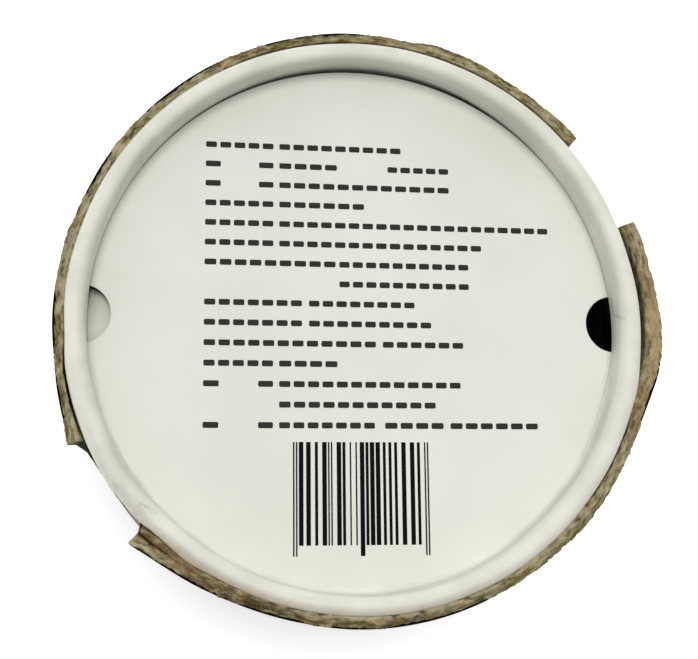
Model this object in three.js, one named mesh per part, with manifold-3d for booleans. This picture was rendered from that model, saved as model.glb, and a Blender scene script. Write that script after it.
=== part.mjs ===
// A round paperboard tea carton, shut, standing on its lid with the underside up.
//
// Millimetres, +Z up. The origin is the middle of the lid's flat outer face, at z = 0.
// +X runs along the lines printed on the bottom card, through both of the card's
// half-moon finger holes. Azimuths are in degrees, turning from +X towards +Y.

import * as THREE from "three";
import { mergeVertices } from "three/addons/utils/BufferGeometryUtils.js";
import Module from "manifold-3d";

const wasm = await Module();
wasm.setup();

// ---- driving dimensions ------------------------------------------------------------

const overallHeight = 58;
const turnSteps = 96; // facets round the carton
const fitGap = 0.3; // paper against paper

const lidRadius = 54.1; // outside of the lid's wall, well below its raw edge
const lidWall = 1.5;
const lidPanel = 2; // board of the lid's flat face
const lidCorner = 0.6; // worn edge round the flat face
const lidEdgeDrop = 1.6; // the lid's raw edge lies this far below the crown of the rim
const edgeSwell = 0.6; // the raw board is swollen outwards at its edge
const edgeSwellHeight = 3;

const thumbNotchWidth = 18.9;
const thumbNotchAzimuths = [30.3, 214.8];
const thumbNotchSteps = 20;

const rimWidth = 2.9; // rolled rim of the base tube
const rimRadius = 52.2; // outside of the rolled rim
const rimHeight = 4.2; // straight outer side of the rolled rim
const rimSteps = 8;
const tubeRadius = 51.9; // outside of the base tube below its rim
const recessDepth = 6.8; // from the crown of the rim to the bottom card

const cardThickness = 0.8;
const backingThickness = 0.6;
const fingerHoleRadius = 5.4;
const fingerHoleCentre = 49.4; // from the axis, so that the card's edge halves the hole
const pocketDepth = 14; // dark space under the open finger hole

// Where the worn paper stands out of round near the underside. Each lean is greatest at
// its azimuth and falls off as exp(-(angle / reach) ** power). The inner face of the
// lid's wall follows the given share of it.
const leanHeight = 16;
const lidLeans = [
  { azimuth: -1, reach: 17, power: 3, size: 2.15, innerShare: 0.35 },
  { azimuth: 20.4, reach: 8, power: 1, size: 0.7, innerShare: 0.5 },
  { azimuth: 40.2, reach: 8, power: 1, size: 0.3, innerShare: 0.5 },
  { azimuth: 204.8, reach: 7, power: 1, size: 1, innerShare: 1 },
  { azimuth: 224.6, reach: 10, power: 1, size: 2.2, innerShare: 0 },
];
const rimLeans = [
  { azimuth: 212, reach: 8, power: 2, size: 0.9, innerShare: 1 },
  { azimuth: 250, reach: 25, power: 4, size: -0.3, innerShare: 1 },
];

// ---- heights and radii that follow ---------------------------------------------------

const lidEdgeHeight = overallHeight - lidEdgeDrop;
const lidInnerRadius = lidRadius - lidWall;
const rimTubeRadius = rimWidth / 2;
const rimCentreRadius = rimRadius - rimTubeRadius;
const rimCentreHeight = overallHeight - rimTubeRadius;
const recessRadius = rimRadius - rimWidth;
const cardRadius = recessRadius - fitGap;
const cardTop = overallHeight - recessDepth;
const backingTop = cardTop - cardThickness - fitGap;
const contentsTop = backingTop - backingThickness - fitGap;
const thumbNotchRadius = thumbNotchWidth / 2;

// ---- solids and booleans ---------------------------------------------------------------

// Closed mesh to solid: position alone is kept, so that shared vertices merge.
function toSolid(geometry) {
  const bare = geometry.index ? geometry.toNonIndexed() : geometry.clone();
  bare.deleteAttribute("normal");
  bare.deleteAttribute("uv");
  const merged = mergeVertices(bare, 1e-4);
  return new wasm.Manifold(
    new wasm.Mesh({
      numProp: 3,
      vertProperties: new Float32Array(merged.attributes.position.array),
      triVerts: new Uint32Array(merged.index.array),
    }),
  );
}

function toGeometry(solid) {
  const mesh = solid.getMesh();
  const geometry = new THREE.BufferGeometry();
  geometry.setAttribute("position", new THREE.BufferAttribute(mesh.vertProperties, 3));
  geometry.setIndex(new THREE.BufferAttribute(mesh.triVerts, 1));
  geometry.computeVertexNormals();
  return geometry;
}

// A [radius, height] profile turned about Z.
function turned(profile) {
  const points = profile.map(([radius, height]) => new THREE.Vector2(radius, height));
  const geometry = new THREE.LatheGeometry(points, turnSteps);
  geometry.rotateX(Math.PI / 2);
  return geometry;
}

// An upright cylinder with its foot at the given height.
function disc(radius, bottom, thickness) {
  const geometry = new THREE.CylinderGeometry(radius, radius, thickness, turnSteps);
  geometry.rotateX(Math.PI / 2);
  geometry.translate(0, 0, bottom + thickness / 2);
  return geometry;
}

// ---- worn, out-of-round paper ------------------------------------------------------------

function angleBetween(a, b) {
  return Math.abs(((((a - b) % 360) + 540) % 360) - 180);
}

// Sum of the leans at an azimuth, for the outer face or for the inner one.
function leanAt(leans, azimuth, inner) {
  return leans.reduce((total, lean) => {
    const fall = (angleBetween(azimuth, lean.azimuth) / lean.reach) ** lean.power;
    return total + lean.size * Math.exp(-fall) * (inner ? lean.innerShare : 1);
  }, 0);
}

// Leans the top of a turned wall in or out. The lean grows with the square of the height
// within leanHeight of the edge. Points inside splitRadius belong to the inner face.
function leanWall(geometry, leans, edgeHeight, splitRadius) {
  const position = geometry.attributes.position;
  for (let i = 0; i < position.count; i += 1) {
    const radius = Math.hypot(position.getX(i), position.getY(i));
    const rise = (position.getZ(i) - edgeHeight + leanHeight) / leanHeight;
    if (rise > 0 && radius > 0) {
      const azimuth = THREE.MathUtils.radToDeg(Math.atan2(position.getY(i), position.getX(i)));
      const lean = leanAt(leans, azimuth, radius < splitRadius) * Math.min(rise, 1) ** 2;
      const scale = (radius + lean) / radius;
      position.setX(i, position.getX(i) * scale);
      position.setY(i, position.getY(i) * scale);
    }
  }
  return geometry;
}

// ---- lid ---------------------------------------------------------------------------------

function lidProfile() {
  const swellFoot = lidEdgeHeight - edgeSwellHeight;
  return [
    [0, 0],
    [lidRadius - lidCorner, 0],
    [lidRadius, lidCorner],
    [lidRadius, lidEdgeHeight - leanHeight],
    [lidRadius, lidEdgeHeight - (leanHeight * 2) / 3],
    [lidRadius, lidEdgeHeight - leanHeight / 3],
    [lidRadius, swellFoot],
    [lidRadius + edgeSwell, swellFoot + edgeSwellHeight * 0.7],
    [lidRadius + edgeSwell, lidEdgeHeight - 0.2],
    [lidRadius + edgeSwell - 0.2, lidEdgeHeight],
    [lidInnerRadius, lidEdgeHeight],
    [lidInnerRadius, lidEdgeHeight - leanHeight / 3],
    [lidInnerRadius, lidEdgeHeight - (leanHeight * 2) / 3],
    [lidInnerRadius, lidEdgeHeight - leanHeight],
    [lidInnerRadius, lidPanel],
    [0, lidPanel],
  ];
}

// A round bar laid through the wall at the raw edge: it cuts one half-round thumb notch.
function thumbNotchCutter(azimuth) {
  const reach = lidWall * 6;
  const bar = new THREE.CylinderGeometry(
    thumbNotchRadius,
    thumbNotchRadius,
    reach,
    thumbNotchSteps * 2,
  );
  bar.rotateZ(Math.PI / 2);
  bar.translate(lidRadius, 0, lidEdgeHeight);
  bar.rotateZ(THREE.MathUtils.degToRad(azimuth));
  return toSolid(bar);
}

function makeLid() {
  const splitRadius = lidRadius - lidWall / 2;
  const shell = leanWall(turned(lidProfile()), lidLeans, lidEdgeHeight, splitRadius);
  const cutters = thumbNotchAzimuths.map(thumbNotchCutter);
  return cutters.reduce((solid, cutter) => solid.subtract(cutter), toSolid(shell));
}

// ---- base tube with its rolled rim and the packed inside ---------------------------------

function baseProfile() {
  const bottom = lidPanel + fitGap;
  const profile = [
    [0, bottom],
    [tubeRadius, bottom],
    [tubeRadius, overallHeight - leanHeight],
    [tubeRadius, rimCentreHeight - rimHeight],
  ];
  for (let step = 0; step <= rimSteps; step += 1) {
    const angle = (Math.PI * step) / rimSteps;
    profile.push([
      rimCentreRadius + rimTubeRadius * Math.cos(angle),
      rimCentreHeight + rimTubeRadius * Math.sin(angle),
    ]);
  }
  profile.push([recessRadius, contentsTop], [0, contentsTop]);
  return profile;
}

// The half-moon that a finger hole leaves inside a round card.
function halfMoon(side, cardLimit, bottom, thickness) {
  const hole = new THREE.CylinderGeometry(
    fingerHoleRadius,
    fingerHoleRadius,
    thickness,
    thumbNotchSteps * 2,
  );
  hole.rotateX(Math.PI / 2);
  hole.translate(side * fingerHoleCentre, 0, bottom + thickness / 2);
  return toSolid(hole).intersect(toSolid(disc(cardLimit, bottom, thickness)));
}

function makeBase() {
  const tube = leanWall(turned(baseProfile()), rimLeans, overallHeight, 0);
  const pocket = halfMoon(1, cardRadius, contentsTop - pocketDepth, pocketDepth + 1);
  return toSolid(tube).subtract(pocket);
}

// ---- cards -------------------------------------------------------------------------------

// A round card with a half-moon finger hole cut into its edge on each given side.
function makeCard(top, thickness, sides) {
  const bottom = top - thickness;
  return sides.reduce(
    (solid, side) => solid.subtract(halfMoon(side, cardRadius + 1, bottom - 1, thickness + 2)),
    toSolid(disc(cardRadius, bottom, thickness)),
  );
}

// ---- the carton --------------------------------------------------------------------------

function part(name, solid, color, roughness) {
  const material = new THREE.MeshStandardMaterial({ color, roughness, metalness: 0 });
  const mesh = new THREE.Mesh(toGeometry(solid), material);
  mesh.name = name;
  return mesh;
}

const carton = new THREE.Group();
carton.name = "tea_carton";
carton.add(
  part("lid_shell", makeLid(), 0x857a55, 0.85),
  part("base_tube", makeBase(), 0xe4e4dc, 0.6),
  part("backing_card", makeCard(backingTop, backingThickness, [1]), 0xc3c4b8, 0.8),
  part("bottom_card", makeCard(cardTop, cardThickness, [-1, 1]), 0xe3e4dc, 0.65),
);

export default carton;
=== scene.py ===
"""A shut round paperboard tea carton, lid down and underside up, dressed round its frame.

Shapes are worked out in millimetres in the frame's axes, and add_piece turns them into
Blender's metres. Azimuths are in degrees, turning from +X towards +Y. A turned piece is a
stack of loops, one point an azimuth, so every array is shaped (loop, azimuth, 3).
"""

import math
from types import SimpleNamespace

import bpy
import numpy as np
from bpy.props import FloatProperty, FloatVectorProperty, IntProperty, PointerProperty
from mathutils import Matrix, Vector


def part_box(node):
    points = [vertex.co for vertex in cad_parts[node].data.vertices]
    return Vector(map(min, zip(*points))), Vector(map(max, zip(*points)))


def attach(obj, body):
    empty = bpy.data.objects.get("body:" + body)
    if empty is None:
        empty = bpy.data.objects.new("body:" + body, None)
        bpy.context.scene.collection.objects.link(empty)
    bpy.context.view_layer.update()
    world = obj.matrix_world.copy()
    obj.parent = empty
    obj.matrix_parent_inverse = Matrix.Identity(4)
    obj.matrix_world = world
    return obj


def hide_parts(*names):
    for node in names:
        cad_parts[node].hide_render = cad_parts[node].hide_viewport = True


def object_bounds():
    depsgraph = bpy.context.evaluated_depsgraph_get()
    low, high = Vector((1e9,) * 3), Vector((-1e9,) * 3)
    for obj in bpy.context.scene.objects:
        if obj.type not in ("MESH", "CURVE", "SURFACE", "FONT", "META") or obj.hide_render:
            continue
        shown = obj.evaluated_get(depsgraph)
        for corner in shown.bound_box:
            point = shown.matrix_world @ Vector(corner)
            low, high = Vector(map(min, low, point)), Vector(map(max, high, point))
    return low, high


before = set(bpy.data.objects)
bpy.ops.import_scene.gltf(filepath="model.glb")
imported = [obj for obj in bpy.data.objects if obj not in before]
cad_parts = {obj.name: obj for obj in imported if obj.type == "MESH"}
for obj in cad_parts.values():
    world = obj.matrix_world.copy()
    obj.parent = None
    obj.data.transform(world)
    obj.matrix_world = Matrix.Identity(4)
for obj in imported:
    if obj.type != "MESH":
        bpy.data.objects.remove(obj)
CAD_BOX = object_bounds()

bl_info = {
    "name": "Round tea carton",
    "version": (1, 0, 0),
    "blender": (4, 5, 0),
    "location": "3D View > Sidebar > Tea Carton",
    "description": "Builds a shut round tea carton, lid down, round its packed frame",
    "category": "Add Mesh",
}

MM = 0.001
BODY = "root"

CARD_LOW, CARD_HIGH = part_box("bottom_card")
BACKING_LOW, BACKING_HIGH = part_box("backing_card")

# Where the worn paper stands out of round near the underside: azimuth, reach in degrees,
# power, size, and the share of it that the wall's inner face follows.
LID_LEANS = (
    (-1, 17, 3, 2.15, 0.35),
    (20.4, 8, 1, 0.7, 0.5),
    (40.2, 8, 1, 0.3, 0.5),
    (204.4, 7, 1, 1, 1),
    (224.2, 10, 1, 2.2, 0),
)
RIM_LEANS = (
    (212, 8, 2, 0.9, 1),
    (250, 25, 4, -0.3, 1),
)
# Finer wear of the board's outline, above all round the bulge and its kink.
EDGE_WEAR = (
    (16, 6, 2, 0.5, 0.48),
    (9, 8, 4, -0.32, 0),
    (326, 14, 4, 0.3, 0),
    (343.5, 5, 4, -0.2, 0),
    (356, 5, 2, 0.2, 0),
    (44, 7, 2, 0.25, 0),
    (69, 8, 6, 0.4, 0),
    (75.5, 2, 2, 0.2, 0),
    (82, 5, 2, -0.3, 0),
    (92, 58, 8, -0.36, 0),
    (110, 9, 2, -0.15, 0),
    (148, 27, 4, -0.36, 0),
    (158, 6, 4, -0.14, 0),
    (153, 9, 4, -0.18, 0),
    (203.6, 2.5, 2, 0.12, 0),
    (204.4, 0.8, 2, 0.2, 0),
    (178, 13, 4, -0.2, 0),
    (189, 5, 2, -0.15, 0),
    (219.9, 3.5, 8, -1.5, 1),
    (224.2, 2, 2, 0.3, 0),
    (262, 34, 6, 0.12, 0),
    (253, 12, 4, -0.24, 0),
)
# Where the raw edge stands higher than elsewhere.
EDGE_RISES = (
    (92, 58, 8, 0.6, 1),
)
# Where the board's inner edge is nipped against the rim: its share of the way there.
EDGE_NIPS = (
    (276, 51, 12, 1, 1),
    (334, 13, 6, 0.8, 1),
    (150, 36, 12, 0.95, 1),
)
# Where the board's inner edge is torn square instead of rounded.
SQUARE_EDGES = (
    (284, 48, 8, 1, 1),
    (150, 32, 8, 1, 1),
)
# The lid's wall is pressed in under the near notch, and just below its flared corner.
NOTCH_PRESS = (
    (214.8, 9.5, 6, -0.8, 0.7),
)
CORNER_PRESS = (
    (223.2, 3.4, 4, -0.9, 1),
)
# Where the rolled rim bellies out towards the board, and where it hangs back.
RIM_BELLIES = (
    (262, 60, 6, 0.55, 1),
    (182, 16, 4, 0.35, 1),
    (188, 8, 4, -0.16, 1),
    (197, 10, 4, 0.6, 1),
    (222, 3.5, 2, 0.3, 1),
    (234.5, 4, 2, 0.35, 1),
    (347, 24, 6, 0.42, 1),
    (346.5, 4, 2, 0.3, 1),
    (62, 14, 2, -0.3, 1),
)
# Where the rim's rounded inner side hangs over the recess more than elsewhere, or less.
RIM_HANGS = (
    (322, 24, 4, 0.3, 1),
    (352, 14, 4, 0.22, 1),
    (258, 32, 4, -0.42, 1),
)
# Tones of the raw board: azimuth, reach, power, strength, and the share of the way across
# the edge from the outside that it fades at (negative: it is on the outer side instead).
# Darker board: painted shade on the near outer half and along the inner edge, tone elsewhere.
BOARD_DARK_AND_SHADE = (
    (246, 10, 4, 0.5, -0.85),
    (251, 14, 2, 0.45, -0.45),
    (280, 40, 6, 0.5, -0.42),
    (257, 7, 4, 0.3, -0.9),
    (330, 9, 6, 0.8, 0.92),
    (5, 12, 4, 0.45, 0.86),
    (190, 13, 6, 0.2, -0.3),
    (96, 17, 4, 0.2, -0.3),
)
BOARD_LIGHT = (
    (285, 44, 8, 0.9, 0.95),
    (68, 26, 4, 0.35, 0.2),
    (140, 14, 4, 0.35, 0.2),
    (226, 3.5, 2, 0.75, -0.4),
    (278, 29, 6, 0.75, 0.72),
    (308, 14, 4, 0.35, 0.55),
    (324, 10, 4, 0.3, 0.4),
    (122, 9, 4, 0.25, 0.25),
    (170, 12, 4, 0.4, 0.3),
    (192, 12, 4, 0.6, 0.55),
    (357, 9, 4, 0.55, -0.75),
    (16, 5, 2, 0.4, -0.6),
    (150, 9, 4, 0.35, 0.3),
)
BOARD_BROWN = (
    (344, 6, 4, 0.75, 0),
    (6, 15, 4, 0.6, -0.8),
    (85, 5, 2, 0.7, 0),
    (115, 5, 2, 0.7, 0),
    (248, 15, 4, 0.65, 0),
    (230, 8, 4, 0.45, 0.4),
    (141, 4, 2, 0.4, -0.5),
)
# Crushed tan paper and red specks on the bulge's outer side, given like the tones.
BOARD_CRUSHED = (
    (357, 9, 2, 0.75, -0.6),
)
BOARD_SPECKS = (
    (354, 11, 2, 1, -0.19),
)
# Painted shade in thin dark gaps between the board and the rim, given like the tones.
BOARD_SEAM_SHADES = (
    (195, 9, 6, 1, 0.86),
    (331, 9, 6, 0.9, 0.87),
    (4, 12, 6, 0.5, 0.93),
)
# A slit that stays open between the nipped board and the rim.
EDGE_SLITS = (
    (196, 9, 2, 0.22, 1),
)
NOTCH_AZIMUTHS = (30.3, 214.4)
NEAR_NOTCH, NOTCH_HALF_TURN = NOTCH_AZIMUTHS[1], 20
# The near notch's sides turn dark from these drops on its right and left: then fade, strength.
NOTCH_SHADE = (3.0, 0.6, 1.6, 0.9)
# Two plies part at the near notch's flared corner: azimuth, how far the split runs on from
# it, and how far before it it starts, then its radius and how much that shrinks a degree.
PLY_SPLIT = (224.6, 11, 3)
PLY_SPLIT_PLACE = (54.4, 0.075)
# Shares of the way across the cut edge where a line of ply ridges runs.
PLY_RIDGES = (0.3, 0.55, 0.8)
EDGE_LOOPS = 24
# How far the wall is worn back at a notch's corners.
CORNER_TRIM = 0.12
# Height from which the loops of the lid's wall are spread evenly up to the cut edge.
WALL_FOOT = 40.0
# Height over which the press of the lid's wall grows from the flat face up.
PRESS_RISE = 14
# Depths over which an effect grows, where it ends and how it fades there: the corner's
# press below the cut edge, and the rim's bellies and hangs below its crown.
CORNER_SPAN = (2.4, 15.6, 8)
BELLY_SPAN = (1.6, 14, 10)
HANG_SPAN = (1.8, 5.4, 3.0)

# How far the printed wrap laps over the raw edge, given like the leans.
WRAP_LAPS = (
    (99, 11, 6, 0.52, 1),
    (128, 9, 4, 0.58, 1),
    (152, 5, 4, 0.48, 1),
    (179, 8, 4, 0.55, 1),
    (196, 5, 4, 0.3, 1),
    (235, 10, 6, 0.48, 1),
    (252, 6, 4, 0.44, 1),
    (275, 18, 4, 0.42, 1),
    (345.5, 4.5, 2, 0.6, 1),
)
WRAP_SHORT, LONGEST_LAP = -0.36, 0.6

# The wrap's print: bands as height and half width, the flat face's rings as radius and half
# width, and the fret's strokes as middle and half size, across and up one unit.
WRAP_BANDS = ((53.3, 0.25), (44.2, 0.3), (7.0, 0.5), (4.9, 0.15))
FACE_RINGS = ((46.5, 0.5), (44.6, 0.15), (21.0, 0.3))
FRET_STROKES = (
    (0.1, 0.5, 0.05, 0.36),
    (0.45, 0.81, 0.4, 0.05),
    (0.8, 0.6, 0.05, 0.26),
    (0.6, 0.39, 0.25, 0.05),
    (0.4, 0.5, 0.05, 0.14),
)
FRET_UNITS, FRET_FOOT, FRET_HEIGHT = 40.0, 45.4, 6.0
LOZENGE_UNITS, LOZENGE_MIDDLE, LOZENGE_HEIGHT = 132.0, 55.6, 2.9
# The flower: radius between its petals, their length and number, and its eye.
FLOWER_CORE, PETAL_LENGTH, PETALS, FLOWER_EYE = 9.0, 7.0, 16, 4.6
WRAP_LIP = (55.3, 55.9)

# The finger holes in the bottom card: azimuth and centre's distance from the axis.
OPEN_HOLE = (0.7, 49.4)
BACKED_HOLE = (179.0, 50.2)
# Where a card sags: middle's x and y, depth, reach.
NO_SAG = (0, 0, 0, 1)
BACKING_SAG = (-48.3, 6.2, 2.0, 6.0)
CARD_EDGE = 0.06
NOISE_STEPS = 7200

# Fold lines pressed into the rolled rim: from azimuth and way inwards from the middle of
# the crown, to the same, then width and depth.
RIM_CREASES = (
    (204, -0.2, 222, 0.3, 0.4, 0.03),
    (221, 0.1, 224, 1.2, 0.35, 0.12),
    (222.4, -0.9, 223.4, 0.8, 0.25, 0.1),
    (0.5, 2.2, 2.5, 6.6, 0.22, 0.12),
    (318, 4.2, 342, 4.6, 0.5, 0.06),
    (256, 0.2, 262, 0.6, 0.4, 0.05),
    (140, 2.2, 152, 2.8, 0.5, 0.05),
    (160, 1.9, 199, 1.4, 1.0, 0.04),
)
# Painted grey shade and a smudge by the near notch: azimuth and way inwards, each with its reach,
# and the strength.
RIM_SMUDGE_SHADES = (
    (221, 5, -0.6, 1.8, 0.6),
    (213, 10, -0.4, 1.3, 0.35),
)
DEEPEST_FOLD = 0.12
# Heights of the tube's foot and of the foot of what fills it.
TUBE_FOOT, PACKED_FOOT = 2.3, 2.5

# More of the rim as azimuth, reach, power, size and share: the brown stains with painted shade
# beside the board, the gap round the bottom card, where it steps back under that card, and the
# unlit paper, painted black as shade, behind both finger holes and in the gap.
RIM_STAINS_AND_SHADE = (
    (240, 17, 2, 1, 1),
    (280, 34, 2, 0.6, 1),
)
FAR_GAP = ((84, 36, 2, 0.85, 1),)
UNDERCUT = ((0, 11, 2, 1.1, 1),)
HOLE_SHADES = (
    (0, 25.56, 2, 1, 1),
    (172.4, 2.4, 2, 1, 1),
)
GAP_SHADE = ((52, 18, 2, 0.8, 1),)
# The fillet down to the card on the near side: azimuth, reach to either side, fade and size,
# and where it is larger. A thin one on the far side falls off over the given height.
NEAR_COVE = (272, 84, 14, 0.7)
LARGER_COVE = ((264, 34, 2, 0.4, 1),)
FAR_COVE = ((49, 15, 2, 0.36, 1),)
FAR_COVE_HEIGHT = 0.4

# Printed lines from the first to the last, each as stretches from left to right.
PRINT_LINES = (
    ((-28.2, -15.6), (-14.5, 8.7)),
    ((-28.2, -25.4), (-18.3, -15.6), (-14.5, -3.6), (6.1, 17.9)),
    ((-28.2, -25.4), (-18.3, -15.6), (-14.5, 17.9)),
    ((-28.2, -15.6), (-14.5, 1.5)),
    ((-28.2, -15.6), (-14.5, 37.1)),
    ((-28.2, -15.6), (-14.5, 23.9)),
    ((-28.2, -4.0), (-3.3, 21.3)),
    ((-3.3, 21.3),),
    ((-28.2, -10.3), (-9.0, 10.8)),
    ((-28.2, -10.3), (-9.0, 13.9)),
    ((-28.2, 3.4), (4.7, 19.9)),
    ((-28.2, -15.6), (-14.5, -3.8)),
    ((-28.2, -25.4), (-18.3, -15.6), (-14.5, 19.2)),
    ((-14.5, 14.4),),
    ((-28.2, -25.4), (-18.3, -15.6), (-14.5, 3.0), (4.9, 15.8), (17.1, 33.7)),
)


# ---- settings ---------------------------------------------------------------------------


def length(name, description, millimetres):
    """A length setting whose default is given in millimetres."""
    return FloatProperty(
        name=name,
        description=description,
        default=millimetres * MM,
        unit="LENGTH",
        subtype="DISTANCE",
    )


def angle(name, description, degrees):
    """An angle setting whose default is given in degrees."""
    return FloatProperty(
        name=name,
        description=description,
        default=math.radians(degrees),
        unit="ROTATION",
        subtype="ANGLE",
    )


def linear(code):
    """The scene-linear colour of a hexadecimal screen colour."""
    parts = (int(code[k : k + 2], 16) / 255 for k in (0, 2, 4))
    return tuple(p / 12.92 if p <= 0.04045 else ((p + 0.055) / 1.055) ** 2.4 for p in parts)


def colour(name, description, code):
    """A colour setting whose default is a hexadecimal screen colour."""
    return FloatVectorProperty(
        name=name,
        description=description,
        default=linear(code),
        size=3,
        min=0,
        max=1,
        subtype="COLOR",
    )


class CartonSizes(bpy.types.PropertyGroup):
    """Lengths of the carton's paperboard pieces."""

    top: length("Height", "Crown of the rim above the lid's flat face", CAD_BOX[1].z / MM)
    lid_radius: length("Lid radius", "Outside of the lid's wall below its raw edge", 54.1)
    lid_wall: length("Lid wall", "Thickness of the lid's wall", 1.5)
    lid_panel: length("Lid panel", "Thickness of the lid's flat face", 2.0)
    lid_corner: length("Lid corner", "Worn rounding round the lid's flat face", 0.6)
    edge_drop: length("Edge drop", "Raw edge of the lid below the rim's crown", 1.6)
    edge_swell: length("Edge swell", "How far the raw board swells outwards", 0.6)
    swell_height: length("Swell height", "Height of the swollen board", 3.0)
    lean_height: length("Lean height", "Height over which worn walls lean", 16.0)
    wrap: length("Wrap", "Thickness of the printed wrap", 0.25)
    notch_radius: length("Notch radius", "Radius of a half-round thumb notch", 9.45)
    tube_radius: length("Tube radius", "Outside of the base tube below its rim", 51.9)
    rim_radius: length("Rim radius", "Outside of the rolled rim", 52.2)
    rim_width: length("Rim width", "Width of the rolled rim", 2.9)
    rim_height: length("Rim height", "Straight outer side of the rolled rim", 4.2)
    rim_round: length("Rim round", "Rounding of the rolled rim's outer side", 1.1)
    rim_slope: length("Rim slope", "Height of the rolled rim's rounded inner side", 2.4)
    rim_bead: length("Rim bead", "How far the rolled rim overhangs the recess", 0.4)
    card_radius: length("Card radius", "Radius of both round cards", CARD_HIGH.y / MM)
    card_shift: length("Card shift", "How far the bottom card lies off the middle", -0.12)
    card_top: length("Card height", "Printed face of the bottom card", CARD_HIGH.z / MM)
    card: length("Card", "Thickness of the bottom card", (CARD_HIGH - CARD_LOW).z / MM)
    backing_top: length("Backing height", "Face of the backing card", BACKING_HIGH.z / MM)
    backing: length(
        "Backing", "Thickness of the backing card", (BACKING_HIGH - BACKING_LOW).z / MM
    )
    hole_radius: length("Hole radius", "Radius of a finger hole", 5.4)
    pocket: length("Pocket", "Depth of the dark space under the open hole", 14.0)


class PrintSizes(bpy.types.PropertyGroup):
    """Lengths of the plain print on the bottom card."""

    first_line: length("First line", "First line of dashes from the middle", 33.4)
    line_pitch: length("Line pitch", "Distance from line to line", 3.75)
    dash_pitch: length("Dash pitch", "Distance from dash to dash", 2.65)
    dash_gap: length("Dash gap", "Bare card between two dashes", 0.6)
    dash_height: length("Dash height", "Height of a dash", 1.1)
    bars_left: length("Bars' left end", "Left side of the block of bars", -12.0)
    bars_top: length("Bars' top", "Top of the block of bars", -22.1)
    bars_bottom: length("Bars' foot", "Foot of the short bars", -40.5)
    bars_foot: length("Long bars' foot", "Foot of the long bars", -42.4)
    bar_unit: length("Bar unit", "Width of the thinnest bar", 0.264)
    bar_units: IntProperty(name="Bar units", description="Units across the block", default=94)
    ink: length("Ink", "Height of the ink above the card", 0.02)


class CartonColours(bpy.types.PropertyGroup):
    """Colours of the carton's papers and inks."""

    board: colour("Board", "Raw khaki board", "8b8160")
    # Also the tone of the board's painted shade.
    board_dark: colour("Dark board", "Dark fibres and hollows in the board", "40351c")
    board_light: colour("Light board", "Pale plies and torn fibres", "c0b595")
    board_olive: colour("Olive board", "Olive patches", "7c7542")
    board_brown: colour("Brown board", "Brown patches", "8c6a42")
    board_pink: colour("Crushed board", "Tan crushed paper", "a8946c")
    board_grey: colour("Grey board", "Purple-grey recycled fibres", "7c7276")
    wrap_ground: colour("Wrap", "Blue-black ground of the printed wrap", "101118")
    wrap_gold: colour("Gold", "Old gold of the wrap's bands", "b08d3e")
    wrap_red: colour("Red", "Red-brown of the wrap's lozenges", "64291e")
    wrap_green: colour("Green", "Green of the wrap's lozenges", "3f5230")
    wrap_core: colour("Wrap core", "Bare paper where the wrap is scuffed", "b9ad98")
    tube: colour("Tube paper", "White paper of the base tube", "e2e1d6")
    tube_shade: colour("Tube shade", "Handled patches on the tube paper", "d4d4c8")
    # Grey painted shade in the rim's folds and where it leans out by the near notch.
    soil: colour("Soil", "Smudges and pressed folds on the rim", "8f8f86")
    card: colour("Bottom card", "Off-white printed card", "e2e2d9")
    card_shade: colour("Card shade", "Faint clouds in the card", "dcdcd2")
    # Painted shade for the bottom card's cut side and for the backing card under it.
    card_cut_shade: colour("Card's cut", "Dark cut side of the bottom card", "24251e")
    # A brown stain with painted shade beside the board.
    stain_and_shade: colour("Blush", "Orange-brown stain beside the board", "b5a386")
    backing: colour("Backing card", "Grey-green backing card", "d8dbcd")
    dash_ink: colour("Dash ink", "Grey-black of the dashes", "30302c")
    bar_ink: colour("Bar ink", "Black of the bars", "050504")
    # Near-black: painted shade in gaps, below the card and in the unlit pocket; also the wrap's
    # own dark lip.
    inside: colour("Inside", "Unlit inside of the carton", "050505")


class StudioSettings(bpy.types.PropertyGroup):
    """Floor, light and camera."""

    floor: colour("Floor", "Pale studio floor", "f8f8f8")
    glow: FloatProperty(name="Glow", description="Glow of the floor", default=0.42)
    horizon: FloatProperty(
        name="Horizon", description="Strength of the surround at the horizon", default=0.95
    )
    sky: FloatProperty(name="Sky", description="Mean strength of the surround", default=0.57)
    slant: FloatProperty(
        name="Slant", description="How much brighter its bright side is", default=0.58
    )
    bright_side: angle("Bright side", "Azimuth of the surround's bright side", 110)
    key: FloatProperty(name="Key light", description="Strength of the key light", default=1.42)
    key_rise: angle("Key rise", "Height of the key light above the horizon", 81)
    key_turn: angle("Key turn", "Azimuth that the key light comes from", 100)
    key_spread: angle("Key spread", "Width of the key light in the sky", 28)
    camera_place: FloatVectorProperty(
        name="Camera place",
        description="Camera's place",
        default=(-0.03285, -0.04078, 0.2621),
        unit="LENGTH",
        subtype="TRANSLATION",
    )
    camera_aim: FloatVectorProperty(
        name="Camera aim",
        description="Point on the bottom card that the camera looks at",
        default=(-0.0016, -0.00135, 0.0512),
        unit="LENGTH",
        subtype="TRANSLATION",
    )
    camera_roll: angle("Camera roll", "Turn of the picture about the line of sight", 38.6)
    lens: FloatProperty(name="Lens", description="Focal length in millimetres", default=60.64)


def in_millimetres(group):
    """A settings group's lengths as plain numbers of millimetres."""
    values = {name: getattr(group, name) for name in group.__annotations__}
    return SimpleNamespace(
        **{name: v / MM if isinstance(v, float) else v for name, v in values.items()}
    )


def sizes():
    """The carton's sizes in millimetres, with the few that follow from them."""
    s = in_millimetres(bpy.context.scene.carton_sizes)
    s.edge = s.top - s.edge_drop
    s.lid_inner = s.lid_radius - s.lid_wall
    s.rim_centre = s.rim_radius - s.rim_width / 2
    s.rim_axis = s.top - s.rim_width / 2
    s.recess = s.rim_radius - s.rim_width
    return s


# ---- shape helpers ----------------------------------------------------------------------


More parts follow.
